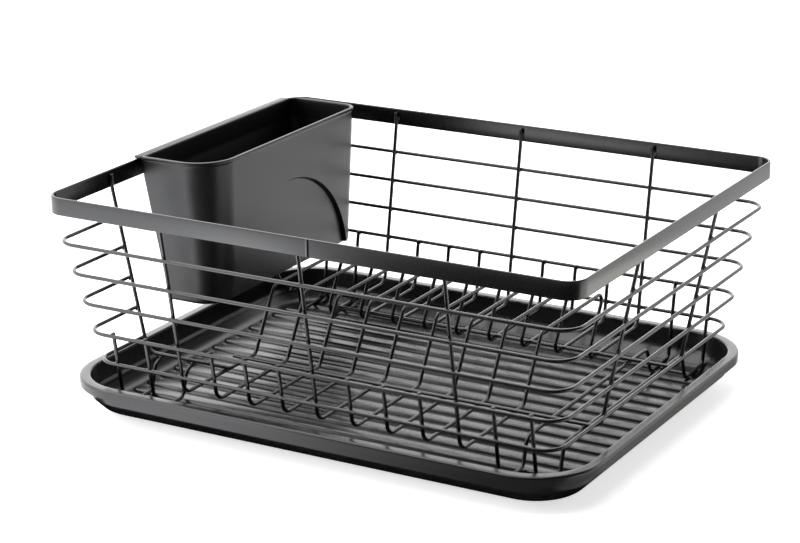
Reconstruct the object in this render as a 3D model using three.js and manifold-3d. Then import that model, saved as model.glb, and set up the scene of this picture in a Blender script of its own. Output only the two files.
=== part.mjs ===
// A wire dish drying rack: a drip tray, a welded wire basket with a flat steel rim,
// nine plate dividers, and a plastic cutlery cup that hooks over the rim.
// Millimetres, +Z up. X runs along the rack, Y from front to back, Z = 0 is the table.
import * as THREE from 'three';
import { mergeVertices } from 'three/addons/utils/BufferGeometryUtils.js';
import Module from 'manifold-3d';

const wasm = await Module();
wasm.setup();

// ---------------------------------------------------------------- driving dimensions

const GAP = 0.3; // left between pieces that touch or are welded together
const OVERLAP = 1; // how far a cutting or joining body stands past the face it meets
const MERGE_TOLERANCE = 1e-4;
const CORNER_SEGMENTS = 3; // straight pieces in each rounded corner of an extruded outline

// Basket: rim band
const RIM_LENGTH = 420;
const RIM_DEPTH = 334.8;
const RIM_TOP = 168;
const BAND_HEIGHT = 13;
const BAND_THICKNESS = 2;
const RIM_CORNER = 14;

// Basket: wires
const WIRE = 2.8; // diameter
const WIRE_SIDES = 6;
const ARC_STEP = Math.PI / 8; // largest turn between two sections of a bent wire
const SIDE_LEAN = 0.21; // how far the end walls come in for each millimetre down
const FRONT_LEAN = 0.168; // the same for the front and back walls
const RING_COUNT = 5;
const RING_PITCH = 22.8;
const LOWEST_RING_Z = 41.8;
const RING_CORNER = 16;
const WIRE_END_BELOW_RIM = 3;
const NUB = 1.5; // how far a short wire stands above the ring it is welded to

// Basket: the thirteen wires that run front to back
const CROSS_PITCH = 28;
const CROSS_COUNT = 13;
const FIRST_DIVIDER = 3;
const LAST_DIVIDER = 11;
const FULL_HEIGHT_EVERY = 4; // dividers 3, 7 and 11 reach the rim
const FLOOR_Z = 28;
const WALL_BEND = 9;
const DIVIDER_TOP_Z = 74;
const DIVIDER_FRONT_FOOT = -50;
const DIVIDER_BACK_FOOT = 53;
const DIVIDER_LEAN = 28; // how far the top of each leg lies behind its foot
const DIVIDER_BEND = 5.5;

// Basket: feet bent into the end wires
const FOOT_Z = 7.3;
const FOOT_LEG_Y = 105; // where a foot turns up again
const FOOT_RISE_Y = 99; // where the leg reaches the basket floor
const FOOT_BEND = 6;
const FOOT_SHOULDER = 8;

// Basket: uprights in the end walls that run on as bars across the floor
const RIGHT_FRONT_Y = -68;
const RIGHT_BACK_Y = 64;
const LEFT_Y = 91;
const LONG_BAR_END = -119;
const SHORT_BAR_END = -107;
const BAR_BEND = 10;

// Drip tray
const TRAY_LENGTH = 418;
const TRAY_DEPTH = 326;
const TRAY_OFFSET = new THREE.Vector2(-3.3, -4.4); // the basket stands a little off its middle
const TRAY_CORNER = 50;
const TRAY_CORNER_SEGMENTS = 7;
const TRAY_FLOOR = 3.2;
const TRAY_FLAT_INSET = 33; // from the outer edge to the flat floor
const RIB_PITCH = 17.4;
const RIB_COUNT = 16;
const RIB_WIDTH = 9;
const RIB_TOP = FOOT_Z - WIRE / 2 - GAP; // the feet stand on the ribs
const RIB_ROOT = 2.4; // the ribs start inside the thickness of the floor
const RIB_END_INSET = 27;

// Cutlery cup
const CUP_LEFT = -204.3;
const CUP_RIGHT = -140;
const CUP_FRONT = -57.5;
const CUP_BACK = 153;
const CUP_BOTTOM = 61.5;
const CUP_TOP = 170.8;
const CUP_WALL = 2;
const CUP_FLOOR = 2.4;
const CUP_BACK_DRAFT = 11;
const CUP_LAYERS = 7; // the left wall is upright in the top layer and leans in below it
const LIP_PROUD = 1.2;
const LIP_HEIGHT = 2.5;
const CUP_RADII = { frontLeft: 4, frontRight: 30, backRight: 13, backLeft: 10 };
const PANEL_RADIUS = 84;
const PANEL_DEPTH = 4.5;
const PANEL_Y = 48;
const PANEL_Z = 50.5;
const PANEL_SIDES = 48;
const HOOK_DEPTH = 9;
const HOOK_WALL = 1.4;
const HOOK_BACK_END = 146;
const SLOT_COUNT = 6;
const SLOT_WIDTH = 3;
const SLOT_LENGTH = 26;
const SLOT_SHIFT = 11; // the floor lies to the right of the mouth's middle, because the left wall leans in

// The tray stands past the band on the left, so the whole rack moves over to centre its outline.
const CENTRE_SHIFT = (TRAY_LENGTH / 2 - TRAY_OFFSET.x - RIM_LENGTH / 2) / 2;

// ---------------------------------------------------------------- materials

const COATED_STEEL = { color: 0x26262a, roughness: 0.42, metalness: 0.35 };
const BAND_STEEL = { color: 0x2b2b2f, roughness: 0.38, metalness: 0.35 };
const TRAY_PLASTIC = { color: 0x3b3b3a, roughness: 0.48, metalness: 0 };
const CUP_PLASTIC = { color: 0x2c2c2d, roughness: 0.55, metalness: 0 };

// ---------------------------------------------------------------- helpers

function namedMesh(name, geometry, finish) {
  const mesh = new THREE.Mesh(geometry, new THREE.MeshStandardMaterial(finish));
  mesh.name = name;
  return mesh;
}

/** A closed three.js geometry as a manifold solid. */
function solidOf(geometry) {
  const bare = geometry.clone();
  bare.deleteAttribute('normal');
  bare.deleteAttribute('uv');
  const merged = mergeVertices(bare, MERGE_TOLERANCE);
  return new wasm.Manifold(
    new wasm.Mesh({
      numProp: 3,
      vertProperties: Float32Array.from(merged.attributes.position.array),
      triVerts: Uint32Array.from(merged.index.array),
    }),
  );
}

/** A manifold solid back as a three.js geometry. */
function geometryOf(solid) {
  const mesh = solid.getMesh();
  const geometry = new THREE.BufferGeometry();
  geometry.setAttribute('position', new THREE.BufferAttribute(Float32Array.from(mesh.vertProperties), 3));
  geometry.setIndex(Array.from(mesh.triVerts));
  geometry.computeVertexNormals();
  return geometry;
}

/** A box given by its lowest and highest corners. */
function boxBetween(low, high) {
  const size = new THREE.Vector3().subVectors(high, low);
  const middle = new THREE.Vector3().addVectors(low, high).multiplyScalar(0.5);
  return new THREE.BoxGeometry(size.x, size.y, size.z).translate(middle.x, middle.y, middle.z);
}

/** A rectangle with a radius of its own at each corner, drawn counter-clockwise. */
function roundedOutline(left, right, front, back, radii) {
  const { frontLeft, frontRight, backRight, backLeft } = radii;
  const outline = new THREE.Shape();
  outline.moveTo(left + frontLeft, front);
  outline.lineTo(right - frontRight, front);
  outline.absarc(right - frontRight, front + frontRight, frontRight, -Math.PI / 2, 0);
  outline.lineTo(right, back - backRight);
  outline.absarc(right - backRight, back - backRight, backRight, 0, Math.PI / 2);
  outline.lineTo(left + backLeft, back);
  outline.absarc(left + backLeft, back - backLeft, backLeft, Math.PI / 2, Math.PI);
  outline.lineTo(left, front + frontLeft);
  outline.absarc(left + frontLeft, front + frontLeft, frontLeft, Math.PI, 1.5 * Math.PI);
  return outline;
}

/** The same radius at all four corners. */
function evenRadii(radius) {
  return { frontLeft: radius, frontRight: radius, backRight: radius, backLeft: radius };
}

/** The points of a wire bent at each inner corner with an arc, as few as the bends need. */
function bentPoints(corners, radius) {
  const points = [corners[0]];
  for (let i = 1; i < corners.length - 1; i += 1) {
    const before = new THREE.Vector3().subVectors(corners[i - 1], corners[i]).normalize();
    const after = new THREE.Vector3().subVectors(corners[i + 1], corners[i]).normalize();
    const turn = Math.PI - before.angleTo(after);
    const bend = Array.isArray(radius) ? radius[i - 1] : radius;
    const reach = bend * Math.tan(turn / 2);
    const inward = new THREE.Vector3().addVectors(before, after).normalize();
    const centre = corners[i].clone().addScaledVector(inward, bend / Math.cos(turn / 2));
    const start = corners[i].clone().addScaledVector(before, reach).sub(centre);
    const end = corners[i].clone().addScaledVector(after, reach).sub(centre);
    const axis = new THREE.Vector3().crossVectors(start, end).normalize();
    const pieces = Math.max(1, Math.ceil(turn / ARC_STEP));
    for (let k = 0; k <= pieces; k += 1) {
      points.push(start.clone().applyAxisAngle(axis, (turn * k) / pieces).add(centre));
    }
  }
  points.push(corners[corners.length - 1]);
  return points;
}

/** A curve whose evenly spaced parameters land on the given points. */
class WirePath extends THREE.Curve {
  constructor(points) {
    super();
    this.points = points;
  }

  getPoint(t, target = new THREE.Vector3()) {
    const place = t * (this.points.length - 1);
    const i = Math.min(Math.floor(place), this.points.length - 2);
    return target.lerpVectors(this.points[i], this.points[i + 1], place - i);
  }

  getPointAt(u, target) {
    return this.getPoint(u, target);
  }

  getTangentAt(u, target = new THREE.Vector3()) {
    const i = Math.round(u * (this.points.length - 1));
    const here = this.points[i];
    const next = this.points[Math.min(i + 1, this.points.length - 1)];
    const last = this.points[Math.max(i - 1, 0)];
    const ahead = new THREE.Vector3().subVectors(next, here).normalize();
    const behind = new THREE.Vector3().subVectors(here, last).normalize();
    return target.addVectors(ahead, behind).normalize();
  }
}

/** A round wire along corners that are joined by bends. */
function bentWire(corners, radius) {
  const path = new WirePath(bentPoints(corners, radius));
  const section = new THREE.Shape();
  for (let i = 0; i < WIRE_SIDES; i += 1) {
    const angle = (2 * Math.PI * i) / WIRE_SIDES;
    const point = [(WIRE / 2) * Math.cos(angle), (WIRE / 2) * Math.sin(angle)];
    if (i === 0) section.moveTo(...point);
    else section.lineTo(...point);
  }
  return new THREE.ExtrudeGeometry(section, {
    steps: path.points.length - 1,
    bevelEnabled: false,
    extrudePath: path,
  });
}

// ---------------------------------------------------------------- basket walls

const BAND_BOTTOM = RIM_TOP - BAND_HEIGHT;
const WIRE_TOP = RIM_TOP - WIRE_END_BELOW_RIM;
const INSIDE_BAND = BAND_THICKNESS + GAP + WIRE / 2;

/** Centre of an upright in an end wall, as a distance from the middle, at height z. */
function endWall(z) {
  return RIM_LENGTH / 2 - INSIDE_BAND - SIDE_LEAN * Math.max(0, BAND_BOTTOM - z);
}

/** Centre of a wire in the front or back wall, as a distance from the middle, at height z. */
function longWall(z) {
  return RIM_DEPTH / 2 - INSIDE_BAND - FRONT_LEAN * Math.max(0, BAND_BOTTOM - z);
}

function ringZ(number) {
  return LOWEST_RING_Z + (RING_COUNT - number) * RING_PITCH;
}

/** The flat steel strip bent round the top of the basket. */
function rimBand() {
  const half = { x: RIM_LENGTH / 2, y: RIM_DEPTH / 2 };
  const band = roundedOutline(-half.x, half.x, -half.y, half.y, evenRadii(RIM_CORNER));
  const inner = { x: half.x - BAND_THICKNESS, y: half.y - BAND_THICKNESS };
  const innerRadii = evenRadii(RIM_CORNER - BAND_THICKNESS);
  band.holes.push(roundedOutline(-inner.x, inner.x, -inner.y, inner.y, innerRadii));
  const geometry = new THREE.ExtrudeGeometry(band, {
    depth: BAND_HEIGHT,
    bevelEnabled: false,
    curveSegments: CORNER_SEGMENTS,
  });
  return geometry.translate(0, 0, BAND_BOTTOM);
}

/** One horizontal ring round the outside of the walls, open where the cup hangs. */
function ringWire(number) {
  const z = ringZ(number);
  const outside = WIRE + GAP;
  const x = endWall(z) + outside * Math.hypot(1, SIDE_LEAN);
  const y = longWall(z) + outside * Math.hypot(1, FRONT_LEAN);
  const endY = LEFT_Y - WIRE / 2;
  const corners = [
    new THREE.Vector3(-x, -endY, z),
    new THREE.Vector3(-x, -y, z),
    new THREE.Vector3(x, -y, z),
    new THREE.Vector3(x, y, z),
    new THREE.Vector3(-x, y, z),
    new THREE.Vector3(-x, endY, z),
  ];
  return bentWire(corners, RING_CORNER);
}

// ---------------------------------------------------------------- wires from front to back

function crossX(number) {
  return (number - (CROSS_COUNT + 1) / 2) * CROSS_PITCH;
}

/** The upper end of a wall wire: at the rim for a full-height wire, else just over ring 4. */
function wallTop(x, side, fullHeight) {
  if (fullHeight) {
    return [
      new THREE.Vector3(x, side * longWall(WIRE_TOP), WIRE_TOP),
      new THREE.Vector3(x, side * longWall(BAND_BOTTOM), BAND_BOTTOM),
    ];
  }
  const z = ringZ(RING_COUNT - 1) + NUB;
  return [new THREE.Vector3(x, side * longWall(z), z)];
}

/** A plate divider: wall, floor, a leaning hoop with two legs, floor and wall in one wire. */
function dividerWire(number) {
  const x = crossX(number);
  const fullHeight = (number - FIRST_DIVIDER) % FULL_HEIGHT_EVERY === 0;
  const front = wallTop(x, -1, fullHeight);
  const back = wallTop(x, 1, fullHeight).reverse();
  const frontTopY = DIVIDER_FRONT_FOOT + DIVIDER_LEAN;
  const backTopY = DIVIDER_BACK_FOOT + DIVIDER_LEAN;
  const corners = [
    ...front,
    new THREE.Vector3(x, -longWall(FLOOR_Z), FLOOR_Z),
    new THREE.Vector3(x, DIVIDER_FRONT_FOOT, FLOOR_Z),
    new THREE.Vector3(x, frontTopY, DIVIDER_TOP_Z),
    new THREE.Vector3(x, backTopY, DIVIDER_TOP_Z),
    new THREE.Vector3(x, DIVIDER_BACK_FOOT, FLOOR_Z),
    new THREE.Vector3(x, longWall(FLOOR_Z), FLOOR_Z),
    ...back,
  ];
  const hoopBends = Array(4).fill(DIVIDER_BEND);
  const wallBends = fullHeight ? [WALL_BEND, WALL_BEND] : [WALL_BEND];
  return bentWire(corners, [...wallBends, ...hoopBends, ...wallBends]);
}

/** The corners of one foot, from the wall down to the tray and up to the basket floor. */
function footCorners(x, side) {
  return [
    ...wallTop(x, side, false),
    new THREE.Vector3(x, side * longWall(FOOT_Z), FOOT_Z),
    new THREE.Vector3(x, side * FOOT_LEG_Y, FOOT_Z),
    new THREE.Vector3(x, side * FOOT_RISE_Y, FLOOR_Z),
  ];
}

/** A wire at the right end with a foot at the front and one at the back. */
function footWire(number) {
  const x = crossX(number);
  const corners = [...footCorners(x, -1), ...footCorners(x, 1).reverse()];
  return bentWire(corners, [FOOT_BEND, FOOT_BEND, FOOT_SHOULDER, FOOT_SHOULDER, FOOT_BEND, FOOT_BEND]);
}

/** A short wire at the left end: one foot, ending on the short bar. */
function shortFootWire(number, side) {
  const x = crossX(number);
  const end = new THREE.Vector3(x, side * (LEFT_Y - WIRE), FLOOR_Z);
  return bentWire([...footCorners(x, side), end], [FOOT_BEND, FOOT_BEND, FOOT_SHOULDER]);
}

// ---------------------------------------------------------------- uprights with floor bars

/** An upright down an end wall that bends in and lies across the floor wires as a bar. */
function uprightBar(side, y, barEnd) {
  const z = FLOOR_Z + WIRE + GAP;
  const corners = [
    new THREE.Vector3(side * endWall(WIRE_TOP), y, WIRE_TOP),
    new THREE.Vector3(side * endWall(BAND_BOTTOM), y, BAND_BOTTOM),
    new THREE.Vector3(side * endWall(z), y, z),
    new THREE.Vector3(barEnd, y, z),
  ];
  return bentWire(corners, [WALL_BEND, BAR_BEND]);
}

// ---------------------------------------------------------------- drip tray

/**
 * A closed profile carried round a rounded rectangle: a lathe whose four quarters are
 * moved apart. The profile gives distance in from the outer edge, and height.
 */
function trayRing(profile) {
  const steps = 4 * TRAY_CORNER_SEGMENTS;
  const points = profile.map(([inset, z]) => new THREE.Vector2(TRAY_CORNER - inset, z));
  points.push(points[0].clone());
  const geometry = new THREE.LatheGeometry(points, steps, Math.PI / steps);
  geometry.rotateX(Math.PI / 2);
  const spread = { x: TRAY_LENGTH / 2 - TRAY_CORNER, y: TRAY_DEPTH / 2 - TRAY_CORNER };
  const position = geometry.attributes.position;
  for (let i = 0; i < position.count; i += 1) {
    position.setX(i, position.getX(i) + Math.sign(position.getX(i)) * spread.x);
    position.setY(i, position.getY(i) + Math.sign(position.getY(i)) * spread.y);
  }
  return geometry;
}

/** Rolled lip, outer skirt, wall, sloping foot of the wall and floor edge, as one closed profile. */
const TRAY_PROFILE = [
  [0, 21.5],
  [0, 27],
  [1.5, 28.5],
  [6.8, 28.5],
  [8.3, 27.3],
  [9.6, 17.5],
  [12, 12.6],
  [18.5, 6.4],
  [26, 4],
  [TRAY_FLAT_INSET, TRAY_FLOOR],
  [TRAY_FLAT_INSET + 2, TRAY_FLOOR],
  [TRAY_FLAT_INSET + 2, 0],
  [32, 0],
  [25, 1.9],
  [17, 4.6],
  [9.8, 11.6],
  [7.5, 16.8],
  [6.5, 26.3],
  [2.2, 26.3],
  [2.2, 21.5],
];

/** A slab with the tray's outline, drawn in by an inset. */
function traySlab(inset, height) {
  const half = { x: TRAY_LENGTH / 2 - inset, y: TRAY_DEPTH / 2 - inset };
  const outline = roundedOutline(-half.x, half.x, -half.y, half.y, evenRadii(TRAY_CORNER - inset));
  return solidOf(
    new THREE.ExtrudeGeometry(outline, {
      depth: height,
      bevelEnabled: false,
      curveSegments: CORNER_SEGMENTS,
    }),
  );
}

function dripTray() {
  const tray = solidOf(trayRing(TRAY_PROFILE)).add(traySlab(TRAY_FLAT_INSET, TRAY_FLOOR));
  let bars = null;
  for (let i = 0; i < RIB_COUNT; i += 1) {
    const y = (i - (RIB_COUNT - 1) / 2) * RIB_PITCH;
    const low = new THREE.Vector3(-TRAY_LENGTH / 2, y - RIB_WIDTH / 2, RIB_ROOT);
    const high = new THREE.Vector3(TRAY_LENGTH / 2, y + RIB_WIDTH / 2, RIB_TOP + OVERLAP);
    const bar = solidOf(boxBetween(low, high));
    bars = bars ? bars.add(bar) : bar;
  }
  const ribs = traySlab(RIB_END_INSET, RIB_TOP).intersect(bars);
  return geometryOf(tray.add(ribs));
}

// ---------------------------------------------------------------- cutlery cup

/** The cup's outline drawn in by an inset on every side. */
function cupOutline(inset) {
  const radii = {};
  for (const [corner, radius] of Object.entries(CUP_RADII)) {
    radii[corner] = Math.max(radius - inset, 1);
  }
  return roundedOutline(CUP_LEFT + inset, CUP_RIGHT - inset, CUP_FRONT + inset, CUP_BACK - inset, radii);
}

/** A prism on a cup outline whose left and back walls lean in below the top layer. */
function cupPrism(inset, bottom, top) {
  const geometry = new THREE.ExtrudeGeometry(cupOutline(inset), {
    depth: CUP_TOP - CUP_BOTTOM,
    steps: CUP_LAYERS,
    bevelEnabled: false,
    curveSegments: CORNER_SEGMENTS,
  });
  geometry.translate(0, 0, CUP_BOTTOM);
  const knee = CUP_TOP - (CUP_TOP - CUP_BOTTOM) / CUP_LAYERS;
  const right = CUP_RIGHT - inset;
  const front = CUP_FRONT + inset;
  const width = right - CUP_LEFT - inset;
  const depth = CUP_BACK - inset - front;
  const position = geometry.attributes.position;
  for (let i = 0; i < position.count; i += 1) {
    const drop = Math.max(0, knee - position.getZ(i));
    const narrow = 1 - (SIDE_LEAN * drop) / width;
    const shallow = 1 - (CUP_BACK_DRAFT * drop) / (knee - CUP_BOTTOM) / depth;
    position.setX(i, right - (right - position.getX(i)) * narrow);
    position.setY(i, front + (position.getY(i) - front) * shallow);
  }
  const slice = boxBetween(
    new THREE.Vector3(-RIM_LENGTH, -RIM_DEPTH, bottom),
    new THREE.Vector3(RIM_LENGTH, RIM_DEPTH, top),
  );
  return solidOf(geometry).intersect(solidOf(slice));
}

/** A disc on its side, its axis along X, for the round panel pressed into the cup. */
function panelDisc(radius, outerX, depth) {
  const disc = new THREE.CylinderGeometry(radius, radius, depth, PANEL_SIDES);
  disc.rotateZ(Math.PI / 2);
  disc.translate(outerX - depth / 2, PANEL_Y, PANEL_Z);
  return solidOf(disc);
}

/** The hook along the left lip: over the top of the rim band and down its outer face. */
function cupHook() {
  const outer = -RIM_LENGTH / 2 - GAP;
  const overTop = boxBetween(
    new THREE.Vector3(outer - HOOK_WALL, CUP_FRONT, RIM_TOP + GAP),
    new THREE.Vector3(CUP_LEFT + OVERLAP, HOOK_BACK_END, CUP_TOP),
  );
  const down = boxBetween(
    new THREE.Vector3(outer - HOOK_WALL, CUP_FRONT, CUP_TOP - HOOK_DEPTH),
    new THREE.Vector3(outer, HOOK_BACK_END, CUP_TOP),
  );
  return solidOf(overTop).add(solidOf(down));
}

function cutleryCup() {
  const body = cupPrism(LIP_PROUD, CUP_BOTTOM, CUP_TOP);
  const lip = cupPrism(0, CUP_TOP - LIP_HEIGHT, CUP_TOP);
  const hollow = cupPrism(LIP_PROUD + CUP_WALL, CUP_BOTTOM + CUP_FLOOR, CUP_TOP + OVERLAP);
  const face = CUP_RIGHT - LIP_PROUD;
  const backing = panelDisc(PANEL_RADIUS + CUP_WALL, face, PANEL_DEPTH + CUP_WALL).intersect(body);
  const pocket = panelDisc(PANEL_RADIUS, face + OVERLAP, PANEL_DEPTH + OVERLAP);
  let cup = body.add(lip).subtract(hollow).add(backing).subtract(pocket).add(cupHook());
  const slotX = (CUP_LEFT + CUP_RIGHT) / 2 + SLOT_SHIFT;
  for (let i = 0; i < SLOT_COUNT; i += 1) {
    const y = CUP_FRONT + ((CUP_BACK - CUP_FRONT) * (i + 1)) / (SLOT_COUNT + 1);
    const low = new THREE.Vector3(slotX - SLOT_LENGTH / 2, y - SLOT_WIDTH / 2, CUP_BOTTOM - OVERLAP);
    const top = CUP_BOTTOM + CUP_FLOOR + OVERLAP;
    const high = new THREE.Vector3(slotX + SLOT_LENGTH / 2, y + SLOT_WIDTH / 2, top);
    cup = cup.subtract(solidOf(boxBetween(low, high)));
  }
  return geometryOf(cup);
}

// ---------------------------------------------------------------- assembly

function basket() {
  const group = new THREE.Group();
  group.add(namedMesh('rim_band', rimBand(), BAND_STEEL));
  for (let i = 1; i <= RING_COUNT; i += 1) {
    group.add(namedMesh(`ring_wire_${i}`, ringWire(i), COATED_STEEL));
  }
  for (let i = FIRST_DIVIDER; i <= LAST_DIVIDER; i += 1) {
    group.add(namedMesh(`divider_wire_${i - FIRST_DIVIDER + 1}`, dividerWire(i), COATED_STEEL));
  }
  for (let i = LAST_DIVIDER + 1; i <= CROSS_COUNT; i += 1) {
    group.add(namedMesh(`foot_wire_${i - LAST_DIVIDER}`, footWire(i), COATED_STEEL));
  }
  for (let i = 1; i < FIRST_DIVIDER; i += 1) {
    group.add(namedMesh(`short_foot_front_${i}`, shortFootWire(i, -1), COATED_STEEL));
    group.add(namedMesh(`short_foot_back_${i}`, shortFootWire(i, 1), COATED_STEEL));
  }
  group.add(namedMesh('upright_right_front', uprightBar(1, RIGHT_FRONT_Y, LONG_BAR_END), COATED_STEEL));
  group.add(namedMesh('upright_right_back', uprightBar(1, RIGHT_BACK_Y, LONG_BAR_END), COATED_STEEL));
  group.add(namedMesh('upright_left_front', uprightBar(-1, -LEFT_Y, SHORT_BAR_END), COATED_STEEL));
  group.add(namedMesh('upright_left_back', uprightBar(-1, LEFT_Y, SHORT_BAR_END), COATED_STEEL));
  return group;
}

function dryingRack() {
  const rack = new THREE.Group();
  const tray = namedMesh('drip_tray', dripTray(), TRAY_PLASTIC);
  tray.position.set(TRAY_OFFSET.x, TRAY_OFFSET.y, 0);
  rack.add(tray);
  rack.add(basket());
  rack.add(namedMesh('cutlery_cup', cutleryCup(), CUP_PLASTIC));
  rack.position.x = CENTRE_SHIFT;
  return rack;
}

export default dryingRack();
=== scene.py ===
# %% [markdown]
# # A wire dish drying rack, piece by piece
#
# The rack is a basket of round steel wire, spot-welded together and powder-coated black, with a
# flat steel strip round its top. It stands loose in a moulded drip tray, and a plastic cutlery
# cup hangs on the left side of the strip.
#
# Nearly everything here is one of two shapes: a section carried along a bent line, or a profile
# carried round a rounded rectangle. So the lesson builds those two tools first, and then the rack.

# %% Start from the fixed frame
import math

import bmesh
import bpy
import numpy as np
from mathutils import Matrix, Vector


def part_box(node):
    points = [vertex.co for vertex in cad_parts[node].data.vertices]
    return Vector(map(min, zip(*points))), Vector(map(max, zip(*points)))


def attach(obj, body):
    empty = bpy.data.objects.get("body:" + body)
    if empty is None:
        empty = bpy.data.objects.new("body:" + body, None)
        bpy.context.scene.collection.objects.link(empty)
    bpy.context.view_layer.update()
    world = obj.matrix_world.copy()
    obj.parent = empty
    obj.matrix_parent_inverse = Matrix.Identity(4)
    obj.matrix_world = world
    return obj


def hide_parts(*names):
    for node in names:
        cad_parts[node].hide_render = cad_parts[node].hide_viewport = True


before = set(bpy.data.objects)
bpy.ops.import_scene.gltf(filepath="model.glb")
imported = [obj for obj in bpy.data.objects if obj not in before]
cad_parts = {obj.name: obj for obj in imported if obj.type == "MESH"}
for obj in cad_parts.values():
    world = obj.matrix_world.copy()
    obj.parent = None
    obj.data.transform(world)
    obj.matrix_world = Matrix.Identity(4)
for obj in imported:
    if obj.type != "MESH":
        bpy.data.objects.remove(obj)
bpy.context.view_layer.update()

# %% [markdown]
# ## From a grid of points to a mesh
#
# A surface that is a function of two parameters is a grid of points. Each quad joins a point to
# its neighbours, and a grid can close on itself in either direction, as a tube does. Points that
# fall together, such as those at the end of a closed rod, are merged, so that the mesh is closed.

# %% Grid and mesh helpers
MERGE = 1e-6
SHARP = math.radians(38)


def grid_faces(rows, columns, wrap_rows=False, wrap_columns=False):
    """The four corner numbers of every quad between neighbouring points, for the whole grid."""
    row, column = np.meshgrid(
        np.arange(rows if wrap_rows else rows - 1),
        np.arange(columns if wrap_columns else columns - 1),
        indexing="ij",
    )
    below, beside = (row + 1) % rows, (column + 1) % columns
    corners = [(row, column), (row, beside), (below, beside), (below, column)]
    return np.stack([r * columns + c for r, c in corners], -1).reshape(-1, 4)


def sheet_of(points, wrap_rows=False, wrap_columns=False):
    """A grid of points, rows by columns by three, with its faces."""
    return points.reshape(-1, 3), grid_faces(*points.shape[:2], wrap_rows, wrap_columns)


def make_piece(name, sheets, material, body, nodes=()):
    """One object from several sheets of (points, faces), merged, facing out and riding on a body."""
    counts = np.cumsum([0] + [len(points) for points, faces in sheets])
    points = np.concatenate([points for points, faces in sheets])
    faces = np.concatenate([faces + start for (_, faces), start in zip(sheets, counts)])
    mesh = bpy.data.meshes.new(name)
    mesh.from_pydata(points, [], faces.tolist())
    work = bmesh.new()
    work.from_mesh(mesh)
    bmesh.ops.remove_doubles(work, verts=work.verts, dist=MERGE)
    bmesh.ops.recalc_face_normals(work, faces=work.faces)
    work.to_mesh(mesh)
    work.free()
    mesh.polygons.foreach_set("use_smooth", np.ones(len(mesh.polygons), bool))
    mesh.set_sharp_from_angle(angle=SHARP)
    mesh.materials.append(material)
    piece = bpy.data.objects.new(name, mesh)
    bpy.context.scene.collection.objects.link(piece)
    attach(piece, body)
    if nodes:
        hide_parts(*nodes)
    return piece


# %% [markdown]
# ## Four finishes from one surface group
#
# Powder coat is dry powder baked on, so it flows into a fine orange peel. Moulded plastic copies
# the spark-eroded skin of its steel mould. Both are a small random relief with a little change of
# colour and gloss over the surface, so one node group serves them all, with its own values in
# each material. Real parts never have one even tone: the group mixes a slow noise, a few
# centimetres across, with a fine one under a millimetre.

# %% The fine_skin group
BROAD_SCALE = 22.0  # spots per metre in the slow change of tone
FLECK_SCALE = 2600.0
TONE_DARK = 0.12  # product of the two noises that gives the dark tone
TONE_LIGHT = 0.42


def add_node(tree, kind, **values):
    """A shader node with its properties set."""
    node = tree.nodes.new(kind)
    for key, value in values.items():
        setattr(node, key, value)
    return node


def new_group(name, inputs, outputs):
    """An empty node group with its sockets, given as name and kind, and its two end nodes."""
    group = bpy.data.node_groups.new(name, "ShaderNodeTree")
    for way, sockets in (("INPUT", inputs), ("OUTPUT", outputs)):
        for socket, kind in sockets.items():
            group.interface.new_socket(socket, in_out=way, socket_type=f"NodeSocket{kind}")
    return group, group.nodes.new("NodeGroupInput"), group.nodes.new("NodeGroupOutput")


def noise_of(tree, vector, scale, detail, roughness=0.5):
    """A noise pattern read at a vector."""
    noise = add_node(tree, "ShaderNodeTexNoise")
    noise.inputs["Scale"].default_value = scale
    noise.inputs["Detail"].default_value = detail
    noise.inputs["Roughness"].default_value = roughness
    tree.links.new(vector, noise.inputs["Vector"])
    return noise


def build_fine_skin():
    """Colour = dark to light by slow noise and flecks; roughness = middle plus change times slow
    noise; height = fine noise of the given grain size."""
    inputs = {"Position": "Vector", "Dark": "Color", "Light": "Color"}
    inputs |= {"Grains per metre": "Float", "Roughness middle": "Float", "Roughness change": "Float"}
    outputs = {"Colour": "Color", "Roughness": "Float", "Height": "Float"}
    group, inside, outside = new_group("fine_skin", inputs, outputs)
    broad = noise_of(group, inside.outputs["Position"], BROAD_SCALE, 4.0, 0.6)
    flecks = noise_of(group, inside.outputs["Position"], FLECK_SCALE, 2.0)
    grain = noise_of(group, inside.outputs["Position"], 1.0, 3.0)
    group.links.new(inside.outputs["Grains per metre"], grain.inputs["Scale"])
    blend = add_node(group, "ShaderNodeMath", operation="MULTIPLY")
    group.links.new(broad.outputs["Fac"], blend.inputs[0])
    group.links.new(flecks.outputs["Fac"], blend.inputs[1])
    spread = add_node(group, "ShaderNodeMapRange")
    spread.inputs["From Min"].default_value = TONE_DARK
    spread.inputs["From Max"].default_value = TONE_LIGHT
    group.links.new(blend.outputs[0], spread.inputs["Value"])
    tone = add_node(group, "ShaderNodeMix", data_type="RGBA")
    group.links.new(spread.outputs["Result"], tone.inputs["Factor"])
    group.links.new(inside.outputs["Dark"], tone.inputs["A"])
    group.links.new(inside.outputs["Light"], tone.inputs["B"])
    group.links.new(tone.outputs["Result"], outside.inputs["Colour"])
    centred = add_node(group, "ShaderNodeMath", operation="SUBTRACT")
    centred.inputs[1].default_value = 0.5
    group.links.new(broad.outputs["Fac"], centred.inputs[0])
    gloss = add_node(group, "ShaderNodeMath", operation="MULTIPLY_ADD")
    group.links.new(centred.outputs[0], gloss.inputs[0])
    group.links.new(inside.outputs["Roughness change"], gloss.inputs[1])
    group.links.new(inside.outputs["Roughness middle"], gloss.inputs[2])
    group.links.new(gloss.outputs[0], outside.inputs["Roughness"])
    group.links.new(grain.outputs["Fac"], outside.inputs["Height"])
    return group


FINE_SKIN = build_fine_skin()
print("group:", FINE_SKIN.name)

# %% [markdown]
# ## Thin paint on edges
#
# Powder flows away from a sharp edge as it melts, and handling polishes a moulded edge, so both
# look a shade lighter there. Cycles reports how convex the mesh is at a point, and the second
# group turns that into a soft mask which lifts the colour a little.

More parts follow.
